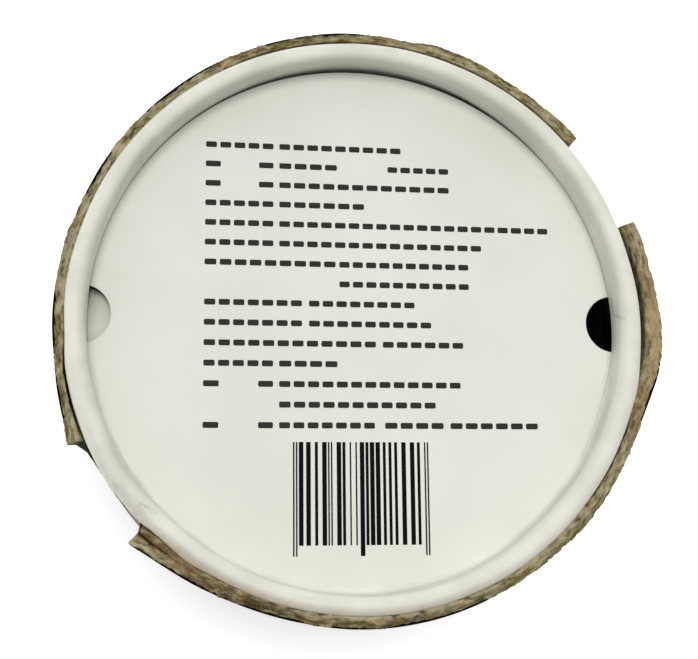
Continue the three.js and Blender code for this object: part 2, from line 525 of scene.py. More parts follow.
def turn_from(azimuth, centre):
    """Signed angle in degrees from centre to azimuth, between -180 and 180."""
    return (azimuth - centre + 180) % 360 - 180


def lean(leans, azimuth, inner=False):
    """Sum of size * exp(-(angle / reach) ** power), times its share on an inner face."""
    total = np.zeros_like(azimuth, dtype=float)
    for centre, reach, power, size, share in leans:
        fall = (np.abs(turn_from(azimuth, centre)) / reach) ** power
        total += size * np.exp(-fall) * (share if inner else 1)
    return total


def smooth_step(value):
    """0 below 0, 1 above 1, and 3v^2 - 2v^3 between."""
    v = np.clip(value, 0, 1)
    return v * v * (3 - 2 * v)


def bump(value, width):
    """A bell of height 1: exp(-(value / width) ** 2)."""
    return np.exp(-((value / width) ** 2))


def rounded(distance, size):
    """Offset of a quarter round: size at distance 0, falling to 0 at distance size."""
    return size - np.sqrt(size**2 - (size - np.clip(distance, 0, size)) ** 2)


def band(depth, span):
    """0 to 1 and back to 0 over a depth, by the span's growth, end and fade."""
    growth, end, fade = span
    return smooth_step(depth / growth) * smooth_step((end - depth) / fade)


def turn_noise(azimuth, loops, reach, blur, seed):
    """Seeded random relief of about one unit, for each loop at each azimuth.

    White noise on an even turn is rolled off by a Gaussian in frequency, reach degrees
    wide along the turn and blur loops across it, and read between its points.
    """
    steps = NOISE_STEPS
    draw = np.random.default_rng(seed).normal(size=(loops, steps))
    waves = np.fft.fft2(draw)
    along = np.fft.fftfreq(steps) * reach * steps / 360
    across = np.fft.fftfreq(loops) * blur
    waves *= np.exp(-2 * (np.pi * along[None, :]) ** 2 - 2 * (np.pi * across[:, None]) ** 2)
    field = np.fft.ifft2(waves).real
    field /= 2 * field.std()
    place = (azimuth % 360) * steps / 360
    low = np.floor(place).astype(int) % steps
    part = place - np.floor(place)
    return field[:, low] * (1 - part) + field[:, (low + 1) % steps] * part


def uneven(azimuth, size, reach, seed):
    """One row of seeded relief of about the given size."""
    return size * turn_noise(azimuth, 1, reach, 0, seed)[0]


def around(azimuth, radius, height):
    """Points at azimuth, radius and height, as an array with x, y, z last."""
    angle = np.radians(azimuth)
    radius, height, angle = np.broadcast_arrays(radius, height, angle)
    return np.stack([radius * np.cos(angle), radius * np.sin(angle), height], axis=-1)


def segment_distance(x, y, start, end):
    """Distance from each point to the stretch from start to end."""
    dx, dy = end[0] - start[0], end[1] - start[1]
    share = np.clip(((x - start[0]) * dx + (y - start[1]) * dy) / (dx * dx + dy * dy), 0, 1)
    return np.hypot(x - start[0] - share * dx, y - start[1] - share * dy)


def turned_loops(azimuth, pairs):
    """Loops from pairs of radius and height, each a number or one value an azimuth."""
    return np.stack([around(azimuth, radius, height) for radius, height in pairs])


def corner_pairs(radius, size, foot, angles):
    """Radius and height on a quarter round, from its foot at angle 0 to its side."""
    return [
        (radius - size * (1 - math.sin(angle)), foot + size * (1 - math.cos(angle)))
        for angle in angles
    ]


def finish_piece(mesh, material, nodes):
    """Puts a filled mesh into the scene as a piece that rides on the carton."""
    mesh.validate()
    mesh.shade_smooth()
    mesh.set_sharp_from_angle(angle=math.radians(50))
    mesh.materials.append(material)
    piece = bpy.data.objects.new(mesh.name, mesh)
    bpy.context.scene.collection.objects.link(piece)
    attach(piece, BODY)
    if nodes:
        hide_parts(*nodes)
    return piece


def add_piece(name, loops, material, nodes=(), ring=False, marks=None):
    """Adds a closed turned piece from loops of points in millimetres.

    Quads join each loop to the next. A ring's last loop meets its first; otherwise both
    ends are shut by a fan round the end loop's middle. Faces are turned outwards by the
    sign of the enclosed volume. Marks are vector attributes given at every loop point.
    """
    count, turns = loops.shape[:2]
    index = np.arange(count * turns).reshape(count, turns)
    last = index if ring else index[:-1]
    following = np.roll(index, -1, axis=0) if ring else index[1:]
    quads = np.stack(
        [last, np.roll(last, -1, axis=1), np.roll(following, -1, axis=1), following], axis=-1
    ).reshape(-1, 4)
    points = loops.reshape(-1, 3)
    fans = np.zeros((0, 3), dtype=int)
    if not ring:
        ends = loops[[0, -1]].mean(axis=1)
        points = np.concatenate([points, ends])
        first, final = count * turns, count * turns + 1
        fans = np.concatenate(
            [
                np.stack([np.roll(index[0], -1), index[0], np.full(turns, first)], axis=-1),
                np.stack([index[-1], np.roll(index[-1], -1), np.full(turns, final)], axis=-1),
            ]
        )
    halves = np.concatenate([quads[:, :3], quads[:, [0, 2, 3]], fans])
    a, b, c = (points[halves[:, k]] for k in range(3))
    if np.einsum("ij,ij->", a, np.cross(b, c)) < 0:
        quads, fans = quads[:, ::-1], fans[:, ::-1]
    mesh = bpy.data.meshes.new(name)
    mesh.from_pydata((points * MM).tolist(), [], quads.tolist() + fans.tolist())
    for mark, values in (marks or {}).items():
        flat = np.broadcast_to(values, loops.shape).reshape(-1, 3)
        if not ring:
            flat = np.concatenate([flat, flat[:1], flat[-1:]])
        layer = mesh.attributes.new(mark, "FLOAT_VECTOR", "POINT")
        layer.data.foreach_set("vector", flat.astype(np.float32).ravel())
    return finish_piece(mesh, material, nodes)


def add_plates(name, outlines, height, thickness, material):
    """Adds many thin closed plates: each outline (plate, corner, 2) is raised from height.

    Every plate has its outline below and above, joined by a band of quads.
    """
    plates, corners = outlines.shape[:2]
    low = np.concatenate([outlines, height[..., None]], axis=-1)
    high = low + (0, 0, thickness)
    points = np.stack([low, high], axis=1).reshape(-1, 3)
    start = np.arange(plates)[:, None] * 2 * corners
    foot = start + np.arange(corners)
    foot_next = np.roll(foot, -1, axis=1)
    sides = np.stack([foot, foot_next, foot_next + corners, foot + corners], axis=-1)
    faces = sides.reshape(-1, 4).tolist() + (foot + corners).tolist() + foot[:, ::-1].tolist()
    mesh = bpy.data.meshes.new(name)
    mesh.from_pydata((points * MM).tolist(), [], faces)
    return finish_piece(mesh, material, ())


# ---- finishes ---------------------------------------------------------------------------


class Finish:
    """A material being put together: each call adds one node and gives its output."""

    def __init__(self, name):
        """Starts from the shader that a new node material has."""
        self.material = bpy.data.materials.new(name)
        self.material.use_nodes = True
        self.tree = self.material.node_tree
        self.shader = self.tree.nodes["Principled BSDF"]

    def join(self, socket, value):
        """Links an output to a socket, or sets the socket to a plain value."""
        if isinstance(value, bpy.types.NodeSocket):
            self.tree.links.new(value, socket)
        elif socket.type == "RGBA" and len(value) == 3:
            socket.default_value = (*value, 1)
        else:
            socket.default_value = value

    def node(self, kind, inputs, output=0, **choices):
        """Adds a node with its choices made and its inputs joined."""
        made = self.tree.nodes.new("ShaderNode" + kind)
        for name, value in choices.items():
            setattr(made, name, value)
        for key, value in inputs.items():
            self.join(made.inputs[key], value)
        return made.outputs[output]

    def place(self):
        """The object's own coordinates in metres."""
        return self.node("TexCoord", {}, "Object")

    def mark(self, name):
        """One of the piece's vector attributes."""
        return self.node("Attribute", {}, "Vector", attribute_name=name)

    def split(self, vector, axis):
        """One number of a vector."""
        return self.node("SeparateXYZ", {"Vector": vector}, axis)

    def scaled(self, vector, factors):
        """The vector with each number multiplied."""
        return self.node("VectorMath", {0: vector, 1: factors}, operation="MULTIPLY")

    def sum(self, operation, a, b=0.0, c=0.0):
        """One sum on two or three numbers."""
        return self.node("Math", {0: a, 1: b, 2: c}, operation=operation)

    def times(self, a, b):
        """Two numbers multiplied."""
        return self.sum("MULTIPLY", a, b)

    def noise(self, vector, scale, detail=4.0, roughness=0.55):
        """Fractal noise from 0 to 1."""
        inputs = {"Vector": vector, "Scale": scale, "Detail": detail, "Roughness": roughness}
        return self.node("TexNoise", inputs, "Fac")

    def between(self, value, low, high):
        """0 where value is under low, 1 where it is over high, smooth between."""
        inputs = {"Value": value, "From Min": low, "From Max": high}
        return self.node("MapRange", inputs, interpolation_type="SMOOTHSTEP")

    def near(self, value, middle, reach):
        """1 where value is within reach of the middle, else 0."""
        return self.sum("COMPARE", value, middle, reach)

    def either(self, *parts):
        """The largest of the parts."""
        total = parts[0]
        for part in parts[1:]:
            total = self.sum("MAXIMUM", total, part)
        return total

    def mix(self, share, a, b):
        """Colour a turning into colour b."""
        inputs = {0: share, 6: a, 7: b}
        return self.node("Mix", inputs, 2, data_type="RGBA")

    def relief(self, height, distance, strength=1.0, below=None):
        """A bumped normal from a height."""
        inputs = {"Height": height, "Distance": distance, "Strength": strength}
        if below is not None:
            inputs["Normal"] = below
        return self.node("Bump", inputs, "Normal")

    def wear(self, base_color=None, roughness=None, normal=None, specular=None):
        """Sets the shader's inputs and gives the material."""
        for name, value in (
            ("Base Color", base_color),
            ("Roughness", roughness),
            ("Normal", normal),
            ("Specular IOR Level", specular),
        ):
            if value is not None:
                self.join(self.shader.inputs[name], value)
        return self.material


def colours():
    """Each colour setting as a plain tuple."""
    group = bpy.context.scene.carton_colours
    return SimpleNamespace(
        **{name: tuple(getattr(group, name)) for name in group.__annotations__}
    )


def board_finish():
    """Raw cut board: mottled khaki, olive and brown plies under torn fibres, with painted shade.
    """
    c, f = colours(), Finish("raw_board")
    grain, layer, tint = f.mark("grain"), f.mark("layer"), f.mark("tint")
    # Darker tone and painted shade; black painted shade in gaps, groove and notch; crushed paper.
    dark_and_shade, groove, crushed = (f.split(layer, k) for k in ("X", "Y", "Z"))
    light, brown, specks = (f.split(tint, k) for k in ("X", "Y", "Z"))

    def clouds(scales, detail, roughness=0.55):
        """Noise stretched along and across the grain."""
        return f.noise(f.scaled(grain, scales), 1.0, detail, roughness)

    patches = clouds((0.22, 0.22, 0.4), 3.0)
    browns = clouds((0.3, 0.28, 0.55), 2.0)
    greys = clouds((0.45, 0.42, 0.8), 2.0)
    mottle = clouds((0.42, 0.44, 1.4), 3.0, 0.6)
    plies = clouds((0.25, 0.25, 3.0), 3.0)
    fibres = clouds((3.0, 3.0, 4.5), 4.0, 0.7)
    browned = f.times(brown, f.between(mottle, 0.3, 0.5))
    warm = f.either(f.between(browns, 0.57, 0.68), browned)
    pale = f.times(light, f.between(mottle, 0.32, 0.55))
    mottled_dark_and_shade = f.times(dark_and_shade, f.between(mottle, 0.72, 0.42))

    # Each tone is laid over the ones before it, by its share.
    shade = c.board
    for share, tone in (
        (f.between(patches, 0.44, 0.58), c.board_olive),
        (f.times(warm, 0.85), c.board_brown),
        (f.times(f.between(greys, 0.58, 0.68), 0.6), c.board_grey),
        (f.times(f.between(mottle, 0.5, 0.68), 0.7), c.board_light),
        (f.times(f.between(mottle, 0.5, 0.34), 0.75), c.board_dark),
        (f.times(f.between(plies, 0.54, 0.7), 0.35), c.board_dark),
        (f.times(pale, 0.8), c.board_light),
        (crushed, c.board_pink),
        # Painted shade with darker board tone, mottled.
        (f.sum("MULTIPLY_ADD", mottled_dark_and_shade, 0.55, f.times(dark_and_shade, 0.4)), c.board_dark),
        (f.times(specks, f.between(mottle, 0.57, 0.62)), c.wrap_red),
        (f.times(f.between(fibres, 0.54, 0.72), 0.4), c.board_light),
        (f.times(f.between(fibres, 0.46, 0.28), 0.5), c.board_dark),
        # Black painted shade in the gaps by the rim, the split's groove and down the near notch's
        # sides.
        (groove, c.inside),
    ):
        shade = f.mix(share, shade, tone)
    normal = f.relief(fibres, 0.12 * MM, 0.8)
    normal = f.relief(mottle, 0.3 * MM, 0.6, normal)
    return f.wear(base_color=shade, roughness=0.92, specular=0.2, normal=normal)


def wrap_fret(f, turn, z):
    """The fret: each unit round the lid is a square spiral of five strokes."""
    unit = f.sum("FRACT", f.times(f.sum("ADD", turn, 1.0), FRET_UNITS))
    rise = f.sum("DIVIDE", f.sum("SUBTRACT", z, FRET_FOOT), FRET_HEIGHT)
    strokes = (
        f.times(f.near(unit, u, across), f.near(rise, v, along))
        for u, v, across, along in FRET_STROKES
    )
    half = FRET_HEIGHT / 2
    return f.times(f.either(*strokes), f.near(z, FRET_FOOT + half, half))


def wrap_face(f, turn, radius, z):
    """The flat face's print: rings round a flower with veined petals and a ringed eye."""
    around_flower = f.times(turn, PETALS * math.pi)
    petals = f.sum("ABSOLUTE", f.sum("COSINE", around_flower))
    flower = f.sum("LESS_THAN", radius, f.sum("MULTIPLY_ADD", petals, PETAL_LENGTH, FLOWER_CORE))
    vein = f.sum("MULTIPLY_ADD", petals, PETAL_LENGTH - 2, FLOWER_CORE - 1.6)
    lines = f.either(f.near(vein, radius, 0.25), f.near(radius, FLOWER_EYE, 0.3))
    rosette = f.sum("MAXIMUM", f.sum("SUBTRACT", flower, lines), 0.0)
    rings = f.either(*(f.near(radius, ring, reach) for ring, reach in FACE_RINGS))
    return f.times(f.either(rings, rosette), f.sum("LESS_THAN", z, 0.4))


def wrap_lozenges(f, c, turn, z):
    """Lozenges in three colours along the raw edge: where they are, and their tint."""
    cell = f.times(f.sum("ADD", turn, 1.0), LOZENGE_UNITS)
    part = f.sum("ABSOLUTE", f.sum("SUBTRACT", f.sum("FRACT", cell), 0.5))
    up = f.sum("DIVIDE", f.sum("SUBTRACT", z, LOZENGE_MIDDLE), LOZENGE_HEIGHT)
    lozenge = f.sum("LESS_THAN", f.sum("ADD", part, f.sum("ABSOLUTE", up)), 0.42)
    kind = f.sum("MODULO", f.sum("FLOOR", cell), 3.0)
    tint = f.mix(f.near(kind, 1.0, 0.5), c.wrap_gold, c.wrap_red)
    return lozenge, f.mix(f.near(kind, 2.0, 0.5), tint, c.wrap_green)


def wrap_finish():
    """Printed wrap: blue-black ground, gold bands, a fret, lozenges and a round flower."""
    c, f, s = colours(), Finish("printed_wrap"), sizes()
    place = f.scaled(f.place(), (1 / MM, 1 / MM, 1 / MM))
    x, y, z = (f.split(place, k) for k in ("X", "Y", "Z"))
    turn = f.sum("DIVIDE", f.sum("ARCTAN2", y, x), 2 * math.pi)
    radius = f.sum("SQRT", f.sum("ADD", f.times(x, x), f.times(y, y)))
    on_wall = f.sum("GREATER_THAN", radius, s.lid_radius - 4)
    bands = f.either(*(f.near(z, height, reach) for height, reach in WRAP_BANDS))
    bands = f.times(bands, on_wall)
    gold = f.either(wrap_fret(f, turn, z), bands, wrap_face(f, turn, radius, z))
    lozenge, tint = wrap_lozenges(f, c, turn, z)

    # Print, then scuffs along both edges and scratches, then the dark lip.
    cloud = f.noise(place, 0.12, 4.0)
    fleck = f.noise(place, 1.9, 4.0, 0.65)
    ground = f.mix(f.times(cloud, 0.06), c.wrap_ground, c.wrap_core)
    shade = f.mix(gold, ground, c.wrap_gold)
    lip = f.between(z, *WRAP_LIP)
    below_lip = f.sum("SUBTRACT", 1.0, lip)
    shade = f.mix(f.times(lozenge, below_lip), shade, tint)
    upper_edge = f.between(z, 53.0, 57.0)
    lower_edge = f.times(f.between(z, 2.2, 0.3), f.between(radius, 52.4, 53.8))
    edge = f.either(upper_edge, lower_edge)
    worn = f.times(edge, f.between(fleck, 0.52, 0.62))
    scratches = f.noise(f.scaled(place, (0.9, 0.9, 0.2)), 1.2, 6.0, 0.7)
    scratches = f.times(f.between(scratches, 0.7, 0.76), 0.5)
    share = f.sum("MULTIPLY_ADD", lip, -0.6, 0.75)
    shade = f.mix(f.times(f.either(worn, scratches), share), shade, c.wrap_core)
    shade = f.mix(f.times(lip, 0.85), shade, c.inside)
    matt = f.either(worn, f.times(cloud, 0.3), lip)
    rough = f.sum("MULTIPLY_ADD", matt, 0.5, 0.42)
    gleam = f.times(below_lip, 0.35)
    normal = f.relief(f.noise(place, 3.0, 3.0), 0.03 * MM, 0.4)
    return f.wear(base_color=shade, roughness=rough, specular=gleam, normal=normal)


def paper_finish(name, main, shade, clouds, rough, tooth):
    """White paper or card: faint clouds of a second tone over fine tooth."""
    f = Finish(name)
    place = f.place()
    cloud = f.noise(place, clouds, 3.0)
    fine = f.noise(place, 2600.0, 3.0, 0.6)
    tone = f.mix(f.between(cloud, 0.35, 0.68), main, shade)
    tone = f.mix(f.times(f.between(fine, 0.4, 0.8), 0.12), tone, shade)
    normal = f.relief(fine, tooth * MM, 0.5)
    f.wear(base_color=tone, roughness=rough, specular=0.35, normal=normal)
    return f, tone


def tube_finish():
    """Smooth rolled paper with handled patches; painted grey shade in its folds, a brown stain
    with painted shade.
    """
    c = colours()
    f, tone = paper_finish("rolled_paper", c.tube, c.tube_shade, 90.0, 0.5, 0.012)
    soil = f.mark("soil")
    spots = f.between(f.noise(f.place(), 420.0, 3.0), 0.5, 0.72)
    # Painted shade: grey in the folds and smudges, brown with a stain beside the board, black
    # below the card.
    fold_shade = f.times(f.split(soil, "X"), f.sum("MULTIPLY_ADD", spots, 0.6, 0.4))
    tone = f.mix(f.times(fold_shade, 0.55), tone, c.soil)
    stain_and_shade = f.times(f.split(soil, "Y"), f.sum("MULTIPLY_ADD", spots, 0.2, 0.65))
    tone = f.mix(stain_and_shade, tone, c.stain_and_shade)
    tone = f.mix(f.split(soil, "Z"), tone, c.inside)
    return f.wear(base_color=tone)


def plain_finish(name, tone, rough, grain, specular=0.25):
    """One ink or board tone, slightly uneven in shade and gloss."""
    f = Finish(name)
    cloud = f.noise(f.place(), grain, 3.0)
    rough = f.sum("MULTIPLY_ADD", cloud, 0.2, rough - 0.1)
    shade = f.mix(f.times(cloud, 0.15), tone, tuple(v * 0.7 for v in tone))
    return f.wear(base_color=shade, roughness=rough, specular=specular)


# ---- lid --------------------------------------------------------------------------------


def lid_columns(s):
    """Azimuths round the lid, how far a notch lowers the raw edge, and how near a corner is.

    A notch is half round with full sides: offset = -radius * cos(t) ** 0.75 (either way)
    and drop = radius * sin(t) ** 0.75. Its corners are quarter circles: offset =
    round * (1 - sin(b)), drop = round * (1 - cos(b)). Elsewhere the azimuths are even.
    """
    # A corner's radius, how far beside it azimuths crowd, their even step, and the fullness.
    corner, crowd, step, fullness = 0.15, 0.8, 0.24, 0.75
    edge_radius = s.lid_radius + s.edge_swell
    half = math.degrees(math.asin(s.notch_radius / edge_radius))
    start = math.asin((corner / s.notch_radius) ** (1 / fullness))
    t = np.linspace(start, math.pi - start, 44)
    across = -np.sign(np.cos(t)) * np.abs(np.cos(t)) ** fullness
    inside = np.degrees(np.arcsin(s.notch_radius * across / edge_radius))
    b = np.linspace(0, math.pi / 2, 7)[:-1]
    lead = np.linspace(crowd, corner, 9)[:-1]
    beyond = np.concatenate([lead, corner * (1 - np.sin(b))])
    fall = np.concatenate([np.zeros(lead.size), corner * (1 - np.cos(b))])
    turn = half + np.degrees(beyond / edge_radius)
    offset = np.concatenate([-turn, inside, turn[::-1]])
    drop = np.concatenate([fall, s.notch_radius * np.sin(t) ** fullness, fall[::-1]])
    outside = np.concatenate([beyond, np.zeros(t.size), beyond[::-1]])
    near = np.clip(1 - outside / 0.3, 0, 1) * np.exp(-drop / 1.6)
    azimuth, drops, nears = [], [], []
    for here, ahead in zip(NOTCH_AZIMUTHS, (*NOTCH_AZIMUTHS[1:], NOTCH_AZIMUTHS[0] + 360)):
        gap = ahead - here - 2 * turn[0]
        count = int(gap / step)
        even = here + turn[0] + gap * np.arange(1, count) / count
        azimuth.extend([here + offset, even])
        drops.extend([drop, np.zeros(count - 1)])
        nears.extend([near, np.zeros(count - 1)])
    return SimpleNamespace(
        azimuth=np.concatenate(azimuth),
        drop=np.concatenate(drops),
        near=np.concatenate(nears),
    )


def lean_rise(s, height, top):
    """0 where a wall starts to lean, 1 at its top."""
    return np.clip((height - top + s.lean_height) / s.lean_height, 0, 1)


def lid_radius_at(s, turn, height):
    """Outside of the lid: radius + swell * step(height) + lean * rise squared."""
    swell = smooth_step((height - s.edge + s.swell_height) / (0.7 * s.swell_height))
    out = lean(LID_LEANS, turn.azimuth) + lean(EDGE_WEAR, turn.azimuth)
    press = lean(NOTCH_PRESS, turn.azimuth) * smooth_step(height / PRESS_RISE)
    press += lean(CORNER_PRESS, turn.azimuth) * band(s.edge - 0.4 - height, CORNER_SPAN)
    return s.lid_radius + s.edge_swell * swell + out * lean_rise(s, height, s.edge) ** 2 + press


def lid_inner_at(s, turn, height):
    """Inside of the lid's wall: it follows a share of each lean, or is nipped to the rim."""
    rise = lean_rise(s, height, s.edge)
    out = lean(LID_LEANS, turn.azimuth, inner=True) + lean(EDGE_WEAR, turn.azimuth, inner=True)
    press = lean(NOTCH_PRESS, turn.azimuth, inner=True) * smooth_step(height / PRESS_RISE)
    free = s.lid_inner + out * rise**2 + press
    rim = rim_side_at(s, turn.azimuth, height) + 0.02 + lean(EDGE_SLITS, turn.azimuth)
    nip = np.clip(lean(EDGE_NIPS, turn.azimuth), 0, 1) * rise**4
    return np.maximum(free + nip * (rim - free), rim)


def rim_side_at(s, azimuth, height):
    """Outside of the rim: its leans, and a belly that fades into the crown and the tube."""
    rise = lean_rise(s, height, s.top)
    belly = lean(RIM_BELLIES, azimuth) * band(s.top - height, BELLY_SPAN)
    return s.rim_radius + lean(RIM_LEANS, azimuth) * rise**2 + belly


def raw_edge_height(s, turn):
    """Height of the cut edge: higher on the far side, lowered by the notches, uneven."""
    level = s.edge + lean(EDGE_RISES, turn.azimuth) - turn.drop
    return level + uneven(turn.azimuth, 0.07, 1.6, 11)


def split_place(azimuth):
    """The split between two plies at the near corner: its radius, and 1 to 0 along it."""
    centre, onwards, before = PLY_SPLIT
    radius, shrink = PLY_SPLIT_PLACE
    past = turn_from(azimuth, centre)
    strength = np.where(past > -before, 1 - smooth_step(past / onwards), 0.0)
    return radius - shrink * past, strength


def wrap_lap(azimuth):
    """How far the wrap laps over the raw edge; below 0 it stops short of it."""
    lap = WRAP_SHORT + lean(WRAP_LAPS, azimuth)
    return lap + uneven(azimuth, 0.2, 1.1, 51) + uneven(azimuth, 0.15, 0.3, 52)


def wall_levels(low, top, shares):
    """Heights up the lid's wall: level ones, then the given shares up to the cut edge."""
    levels = [np.full(top.size, height) for height in (*low, WALL_FOOT)]
    return levels + [WALL_FOOT + (top - 0.3 - WALL_FOOT) * share for share in shares]


def tone_at(tones, azimuth, shares, inner=0.1, outer=0.25):
    """Strength of a tone, 0 to 1, at each share of the way across the edge and azimuth.

    Inner and outer are the shares over which it fades in on either side.
    """
    total = np.zeros((shares.shape[0], azimuth.size))
    for centre, reach, power, strength, fade in tones:
        across = np.ones_like(shares)
        if fade > 0:
            across = smooth_step((shares - fade) / inner + 0.5)
        if fade < 0:
            across = smooth_step((-fade - shares) / outer + 0.5)
        total += lean(((centre, reach, power, strength, 1),), azimuth) * across
    return np.clip(total, 0, 1)


def cut_edge(s, turn, top, skin):
    """The raw cut edge in loops from its outer to its inner side.

    Height is the edge's, less a quarter round at each side, the ply ridges and the split's
    groove, with torn fibres. Where the wrap stops short, the board stands out further.
    """
    azimuth = turn.azimuth
    even = np.linspace(0, 1, EDGE_LOOPS)
    share = 0.35 * (1 - np.cos(math.pi * even)) / 2 + 0.65 * even
    ragged = uneven(azimuth, 0.08, 0.5, 21) + uneven(azimuth, 0.09, 0.2, 24)
    ragged += 0.3 * smooth_step(-wrap_lap(azimuth) / 0.15)
    wide = lid_radius_at(s, turn, top) - skin - CORNER_TRIM * turn.near**2 + ragged
    torn = np.maximum(uneven(azimuth, 0.1, 0.7, 22), -0.02)
    width = wide - (lid_inner_at(s, turn, top) + 0.1 * turn.near + torn)
    across = share[:, None] * width
    radius = wide - across

    split_radius, split = split_place(azimuth)
    beside = radius - split_radius - uneven(azimuth, 0.08, 1.2, 23)
    groove = split * bump(beside, 0.1 + 0.06 * split)
    fibres = turn_noise(azimuth, EDGE_LOOPS, 0.3, 1.0, 41)
    fibres += turn_noise(azimuth, EDGE_LOOPS, 1.4, 2.0, 42)
    inner_round = 0.2 - 0.15 * lean(SQUARE_EDGES, azimuth)
    height = top + 0.08 * fibres - 1.2 * groove
    height -= rounded(across, 0.28) + rounded(width - across, inner_round)
    for number, place in enumerate(PLY_RIDGES):
        ridge = place + uneven(azimuth, 0.05, 3, 30 + number)
        height -= 0.1 * bump(share[:, None] - ridge, 0.05)
    return SimpleNamespace(
        share=share,
        across=across,
        width=width,
        radius=radius,
        height=height,
        groove=groove,
        split=split,
        split_radius=split_radius,
    )


def board_marks(turn, edge, shares, radius, groove):
    """Board tones as two vectors: darker tone and painted shade, gap shade, crushed, and light,
    brown, specks.
    """
    azimuth = turn.azimuth
    cut = shares <= 1
    inner_layer = edge.split * smooth_step((edge.split_radius - radius) / 0.3)
    past = turn_from(azimuth, NEAR_NOTCH)
    right, left, fade, strength = NOTCH_SHADE
    notch = smooth_step((turn.drop - np.where(past > 0, right, left)) / fade)
    # Black painted shade in the gaps by the rim, the split's groove and down the near notch's
    # sides.
    seam_shade = tone_at(BOARD_SEAM_SHADES, azimuth, shares) + 0.8 * groove
    seam_shade += strength * notch * (np.abs(past) < NOTCH_HALF_TURN)
    # Painted shade with darker board tone: the table's, the inner ply at the split, the lid's
    # inside.
    dark_and_shade = tone_at(BOARD_DARK_AND_SHADE, azimuth, shares, outer=0.45)
    dark_and_shade += 0.75 * inner_layer + smooth_step((shares - 1) / 0.4)
    crushed = tone_at(BOARD_CRUSHED, azimuth, shares, outer=0.3) * cut
    light = tone_at(BOARD_LIGHT, azimuth, shares, inner=0.4) * cut
    brown = tone_at(BOARD_BROWN, azimuth, shares) + inner_layer
    specks = tone_at(BOARD_SPECKS, azimuth, shares, outer=0.12) * cut
    return {
        "layer": np.clip(np.stack([dark_and_shade, seam_shade, crushed], axis=-1), 0, 1),
        "tint": np.clip(np.stack([light, brown, specks], axis=-1), 0, 1),
    }


def make_lid_board(s):
    """The board cup: flat face, corner, wall, cut edge and inside, as one closed surface.

    The grain mark runs round the carton, and across the section in millimetres.
    """
    turn = lid_columns(s)
    azimuth = turn.azimuth
    skin = s.wrap + 0.02
    top = raw_edge_height(s, turn)
    edge = cut_edge(s, turn, top, skin)

    outside = [(20.0, skin), (42.0, skin)]
    angles = np.linspace(0, math.pi / 2, 4)
    outside += corner_pairs(s.lid_radius - skin, s.lid_corner, skin, angles)
    levels = wall_levels((12.0, 26.0), top, np.linspace(0, 1, 10)[1:-1])
    outside += [(lid_radius_at(s, turn, level) - skin, level) for level in levels]
    inside = []
    for part in np.linspace(1, 0, 7)[1:]:
        level = WALL_FOOT + (top - 0.2 - WALL_FOOT) * part
        inside.append((lid_inner_at(s, turn, level) + 0.1 * turn.near * part, level))
    for height in (20.0, s.lid_panel):
        inside.append((lid_inner_at(s, turn, np.full(azimuth.size, height)), height))
    inside.append((25.0, s.lid_panel))

    pairs = [*outside, *zip(edge.radius, edge.height), *inside]
    radius, height = (
        np.stack([np.broadcast_to(part, azimuth.shape) for part in parts]) for parts in zip(*pairs)
    )
    below, last = len(outside), len(outside) + EDGE_LOOPS
    shares = np.concatenate([np.zeros(below), edge.share, np.full(len(inside), 1.5)])[:, None]
    groove = np.zeros_like(radius)
    groove[below:last] = edge.groove
    depth = np.concatenate([height[:below] - top, edge.across, edge.width + top - height[last:]])
    marks = {"grain": around(azimuth, s.lid_radius, depth)}
    marks |= board_marks(turn, edge, shares, radius, groove)
    loops = around(azimuth, radius, height)
    return add_piece("lid_board", loops, board_finish(), ("lid_shell",), marks=marks)


def make_lid_wrap(s):
    """The printed wrap: a skin outside the lid that ends in a ragged lip at the cut edge.

    The skin is its inner face from the flat face up, a lip that laps inwards over the
    board or stops short of it, and its outer face down again. All radii follow the lid's.
    """
    turn = lid_columns(s)
    azimuth = turn.azimuth
    lap = wrap_lap(azimuth)
    over = np.clip(lap, 0, LONGEST_LAP) * (1 - smooth_step(turn.drop))
    near_side = np.abs(turn_from(azimuth, NEAR_NOTCH)) < NOTCH_HALF_TURN
    short = 2.2 * np.clip(-lap, 0, 0.5) + 1.2 * smooth_step(turn.drop) * near_side
    top = raw_edge_height(s, turn) - short
    levels = wall_levels((5.0, 10.0, 15.0, 26.0), top, np.linspace(0, 1, 11)[1:])
    lip = lid_radius_at(s, turn, top) - CORNER_TRIM * turn.near**2
    upwards = np.linspace(0, math.pi / 2, 4)
    downwards = np.linspace(math.pi / 2, 0, 7)
    pairs = [
        (20.0, s.wrap),
        (42.0, s.wrap),
        *corner_pairs(s.lid_radius - s.wrap, s.lid_corner, s.wrap, upwards),
        *((lid_radius_at(s, turn, level) - s.wrap, level) for level in levels),
        (lip - s.wrap - over, top - 0.18),
        (lip - s.wrap * 0.9 - over, top + 0.03),
        (lip - s.wrap * 0.5 - over * 0.4, top + 0.06),
        (lip - 0.06, top - 0.06),
        *((lid_radius_at(s, turn, level), level) for level in levels[::-1]),
        *corner_pairs(s.lid_radius, s.lid_corner, 0.0, downwards),
        *((radius, 0.0) for radius in (50.0, 42.0, 30.0, 15.0)),
    ]
    loops = turned_loops(azimuth, pairs)
    return add_piece("lid_wrap", loops, wrap_finish(), ("lid_shell",))


# ---- base tube --------------------------------------------------------------------------


